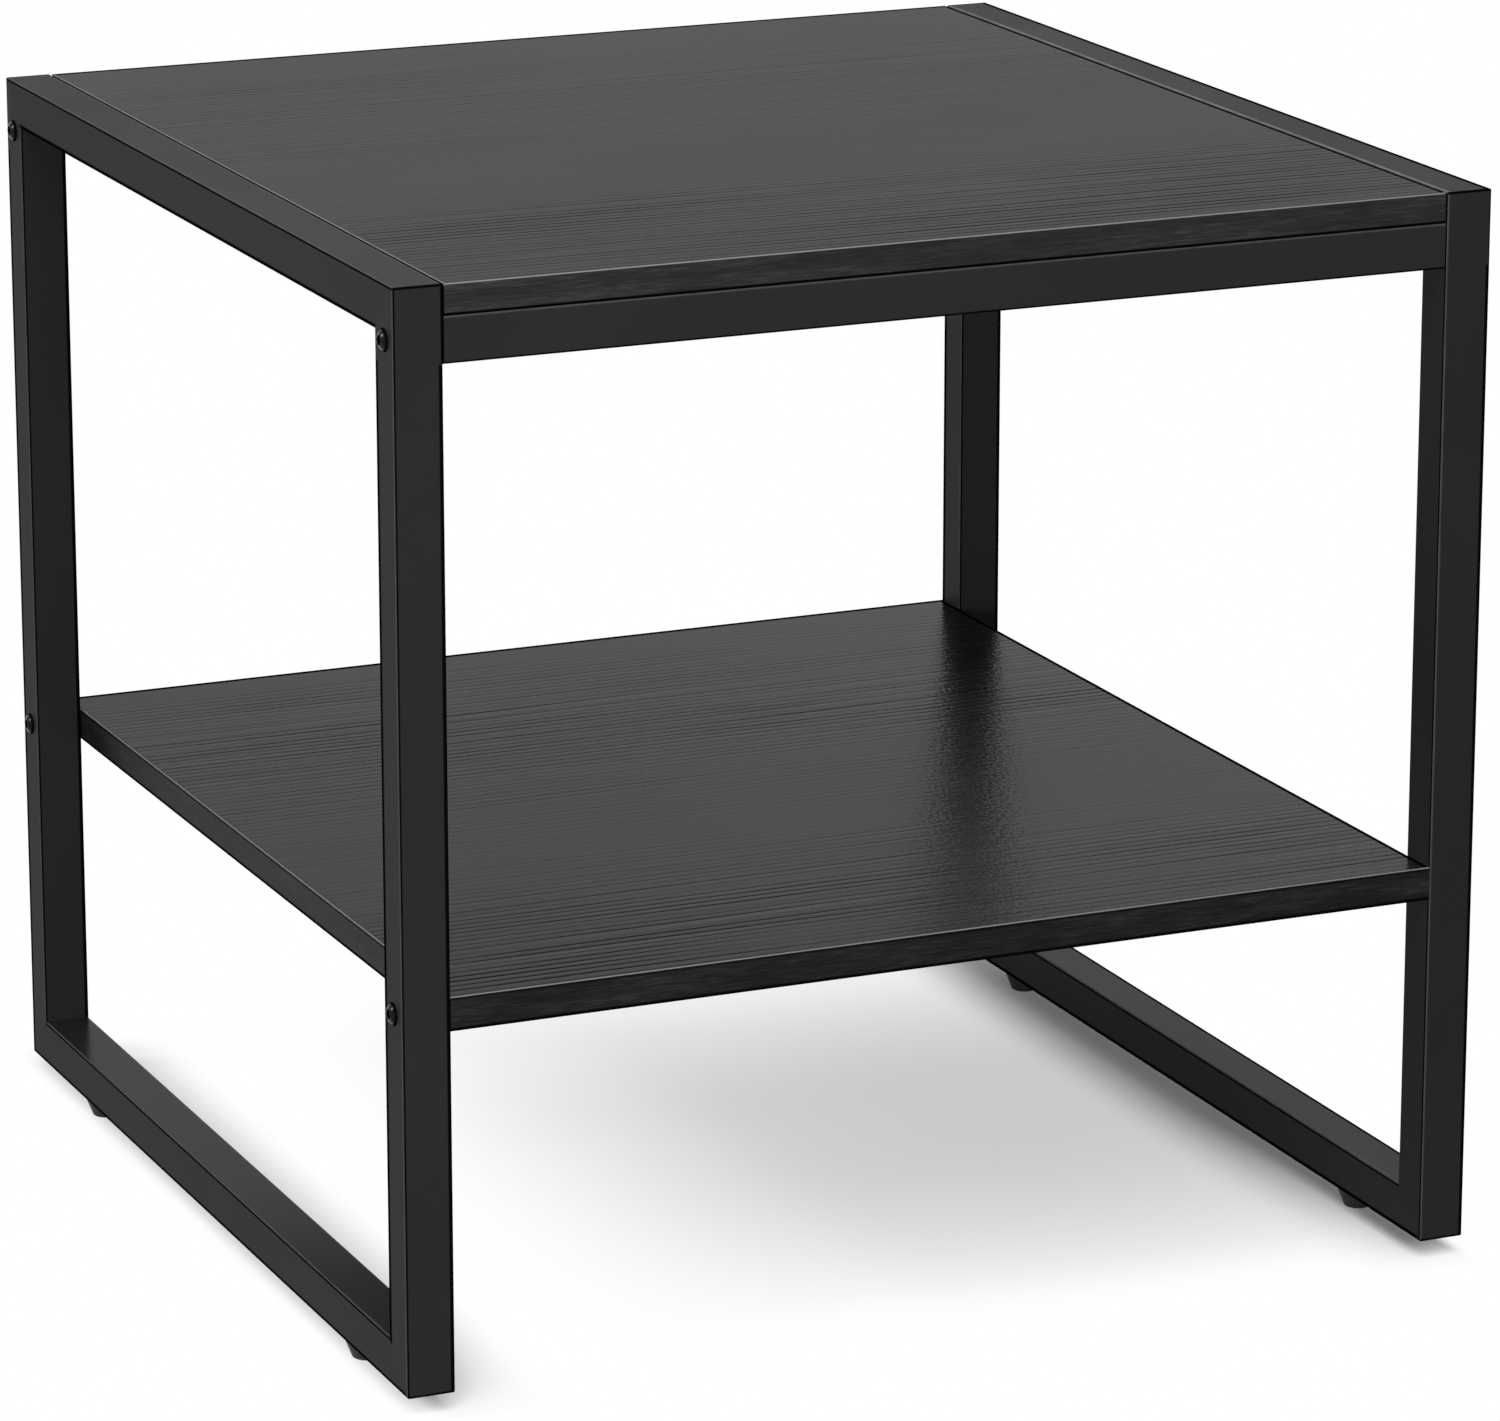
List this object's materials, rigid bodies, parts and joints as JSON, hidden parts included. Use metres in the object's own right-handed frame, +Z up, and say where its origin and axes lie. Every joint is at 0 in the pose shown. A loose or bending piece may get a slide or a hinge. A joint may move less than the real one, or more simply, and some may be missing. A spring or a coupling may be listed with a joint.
{
  "type": "end table with shelf",
  "caption": "Square end table: welded square-tube side frames, a wood-grain top board set flush between them, a lower shelf bolted to the legs, and screw-in levelling feet.",
  "frame": {"origin": "on the floor, below the middle of the table, with the feet screwed right in", "axes": "+X from the left side frame to the right one, +Y from front to rear, +Z up"},
  "size_m": [0.5044, 0.5, 0.481],
  "materials": {
    "black_coated_steel": "satin black powder coat",
    "black_wood_grain_board": "black wood-grain melamine, semi-gloss",
    "black_wood_grain_strip": "black wood-grain edge strip",
    "black_bolt_steel": "black oxide",
    "zinc_plated_steel": "bright zinc plate",
    "black_foot_plastic": "moulded, fine matte texture"
  },
  "bodies": {
    "table": {"left_top_rail": "black_coated_steel", "left_bottom_rail": "black_coated_steel", "left_front_leg": "black_coated_steel", "left_rear_leg": "black_coated_steel", "right_top_rail": "black_coated_steel", "right_bottom_rail": "black_coated_steel", "right_front_leg": "black_coated_steel", "right_rear_leg": "black_coated_steel", "front_crossbar": "black_coated_steel", "rear_crossbar": "black_coated_steel", "left_front_end_plate": "black_coated_steel", "left_rear_end_plate": "black_coated_steel", "right_front_end_plate": "black_coated_steel", "right_rear_end_plate": "black_coated_steel", "top_board": "black_wood_grain_board", "shelf_board": "black_wood_grain_board", "top_board_front_strip": "black_wood_grain_strip", "top_board_rear_strip": "black_wood_grain_strip", "top_board_left_strip": "black_wood_grain_strip", "top_board_right_strip": "black_wood_grain_strip", "shelf_front_strip": "black_wood_grain_strip", "shelf_rear_strip": "black_wood_grain_strip", "shelf_left_strip": "black_wood_grain_strip", "shelf_right_strip": "black_wood_grain_strip", "crossbar_bolts": "black_bolt_steel", "shelf_bolts": "black_bolt_steel", "crossbar_weld_nuts": "zinc_plated_steel", "shelf_barrel_nuts": "zinc_plated_steel", "foot_rivet_nuts": "zinc_plated_steel", "top_board_screws": "zinc_plated_steel"},
    "left_front_foot_thread": {"left_front_foot_stud": "zinc_plated_steel"},
    "left_front_foot": {"left_front_foot_base": "black_foot_plastic"},
    "left_rear_foot_thread": {"left_rear_foot_stud": "zinc_plated_steel"},
    "left_rear_foot": {"left_rear_foot_base": "black_foot_plastic"},
    "right_front_foot_thread": {"right_front_foot_stud": "zinc_plated_steel"},
    "right_front_foot": {"right_front_foot_base": "black_foot_plastic"},
    "right_rear_foot_thread": {"right_rear_foot_stud": "zinc_plated_steel"},
    "right_rear_foot": {"right_rear_foot_base": "black_foot_plastic"}
  },
  "joints": [
    {"name": "left_front_foot_travel", "type": "slide", "parent": "table", "child": "left_front_foot_thread", "axis": [0, 0, -1], "range_m": [0, 0.008]},
    {"name": "left_front_foot_turn", "type": "hinge", "parent": "left_front_foot_thread", "child": "left_front_foot", "pos_m": [-0.23925, -0.1734, 0], "axis": [0, 0, -1], "range_deg": [0, 2880]},
    {"name": "left_rear_foot_travel", "type": "slide", "parent": "table", "child": "left_rear_foot_thread", "axis": [0, 0, -1], "range_m": [0, 0.008]},
    {"name": "left_rear_foot_turn", "type": "hinge", "parent": "left_rear_foot_thread", "child": "left_rear_foot", "pos_m": [-0.23925, 0.1734, 0], "axis": [0, 0, -1], "range_deg": [0, 2880]},
    {"name": "right_front_foot_travel", "type": "slide", "parent": "table", "child": "right_front_foot_thread", "axis": [0, 0, -1], "range_m": [0, 0.008]},
    {"name": "right_front_foot_turn", "type": "hinge", "parent": "right_front_foot_thread", "child": "right_front_foot", "pos_m": [0.23925, -0.1734, 0], "axis": [0, 0, -1], "range_deg": [0, 2880]},
    {"name": "right_rear_foot_travel", "type": "slide", "parent": "table", "child": "right_rear_foot_thread", "axis": [0, 0, -1], "range_m": [0, 0.008]},
    {"name": "right_rear_foot_turn", "type": "hinge", "parent": "right_rear_foot_thread", "child": "right_rear_foot", "pos_m": [0.23925, 0.1734, 0], "axis": [0, 0, -1], "range_deg": [0, 2880]}
  ],
  "couplings": [
    {"joint": "left_front_foot_turn", "follows": "left_front_foot_travel", "rad_per_m": 6283.2},
    {"joint": "left_rear_foot_turn", "follows": "left_rear_foot_travel", "rad_per_m": 6283.2},
    {"joint": "right_front_foot_turn", "follows": "right_front_foot_travel", "rad_per_m": 6283.2},
    {"joint": "right_rear_foot_turn", "follows": "right_rear_foot_travel", "rad_per_m": 6283.2}
  ]
}
